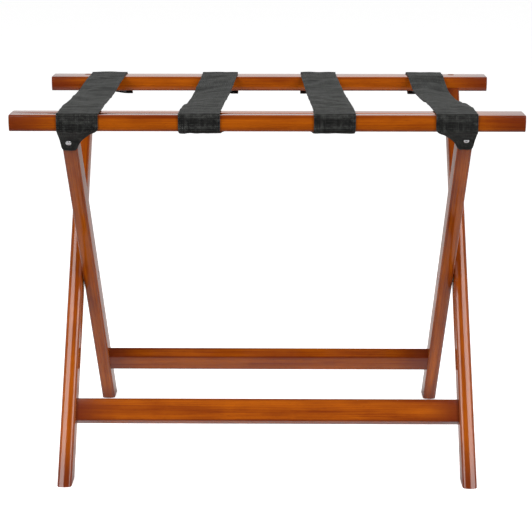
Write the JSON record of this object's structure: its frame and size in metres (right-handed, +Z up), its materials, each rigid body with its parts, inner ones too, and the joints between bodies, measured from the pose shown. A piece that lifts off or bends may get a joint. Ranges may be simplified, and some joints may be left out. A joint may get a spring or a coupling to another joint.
{
  "type": "folding luggage rack",
  "caption": "Folding wooden luggage rack: crossed leg frames on pivot bolts hold webbing straps between two top rails.",
  "frame": {"origin": "on the floor under the pivot line, in the middle of the rack as it stands open", "axes": "+X along the rails, +Y to the rear, +Z up"},
  "size_m": [0.64, 0.3996, 0.5015],
  "materials": {
    "stained_wood": "glossy clear lacquer over reddish brown stain",
    "plug_wood": "stained end-grain plug",
    "dowel_wood": "bare",
    "black_webbing": "plain-woven nylon webbing",
    "zinc_steel": "bright zinc",
    "staple_steel": "galvanised wire",
    "nylon_washer": "black nylon"
  },
  "bodies": {
    "inner_frame": {"front_rail": "stained_wood", "inner_leg_left": "stained_wood", "inner_leg_right": "stained_wood", "rear_stretcher": "stained_wood", "rear_stretcher_dowels": "dowel_wood", "front_rail_screws": "zinc_steel", "front_rail_plugs": "plug_wood", "pivot_bolt_left": "zinc_steel", "pivot_bolt_right": "zinc_steel", "pivot_washer_left": "nylon_washer", "pivot_washer_right": "nylon_washer", "pivot_nut_left": "zinc_steel", "pivot_nut_right": "zinc_steel", "strap_tab_screws": "zinc_steel", "front_staples": "staple_steel", "left_end_strap_front_wrap": "black_webbing", "left_middle_strap_front_wrap": "black_webbing", "right_middle_strap_front_wrap": "black_webbing", "right_end_strap_front_wrap": "black_webbing"},
    "outer_frame": {"rear_rail": "stained_wood", "outer_leg_left": "stained_wood", "outer_leg_right": "stained_wood", "front_stretcher": "stained_wood", "front_stretcher_dowels": "dowel_wood", "rear_rail_screws": "zinc_steel", "rear_rail_plugs": "plug_wood", "rear_staples": "staple_steel", "left_end_strap_rear_wrap": "black_webbing", "left_middle_strap_rear_wrap": "black_webbing", "right_middle_strap_rear_wrap": "black_webbing", "right_end_strap_rear_wrap": "black_webbing"},
    "strap_fronts": {"left_end_strap_front_half": "black_webbing", "left_middle_strap_front_half": "black_webbing", "right_middle_strap_front_half": "black_webbing", "right_end_strap_front_half": "black_webbing"},
    "strap_rears": {"left_end_strap_rear_half": "black_webbing", "left_middle_strap_rear_half": "black_webbing", "right_middle_strap_rear_half": "black_webbing", "right_end_strap_rear_half": "black_webbing"}
  },
  "joints": [
    {"name": "fold", "type": "hinge", "parent": "inner_frame", "child": "outer_frame", "pos_m": [0, 0, 0.241], "axis": [1, 0, 0], "range_deg": [0, 61], "deforming": ["left_end_strap_front_half", "left_middle_strap_front_half", "right_middle_strap_front_half", "right_end_strap_front_half", "left_end_strap_rear_half", "left_middle_strap_rear_half", "right_middle_strap_rear_half", "right_end_strap_rear_half"]},
    {"name": "strap_front_drop", "type": "hinge", "parent": "inner_frame", "child": "strap_fronts", "pos_m": [0, -0.15875, 0.5001], "axis": [1, 0, 0], "range_deg": [-56.7, 0]},
    {"name": "strap_rear_drop", "type": "hinge", "parent": "outer_frame", "child": "strap_rears", "pos_m": [0, 0.15875, 0.5001], "axis": [1, 0, 0], "range_deg": [0, 56.7]}
  ],
  "couplings": [
    {"joint": "strap_front_drop", "follows": "fold", "ratio": -0.9264},
    {"joint": "strap_rear_drop", "follows": "fold", "ratio": 0.9264}
  ]
}
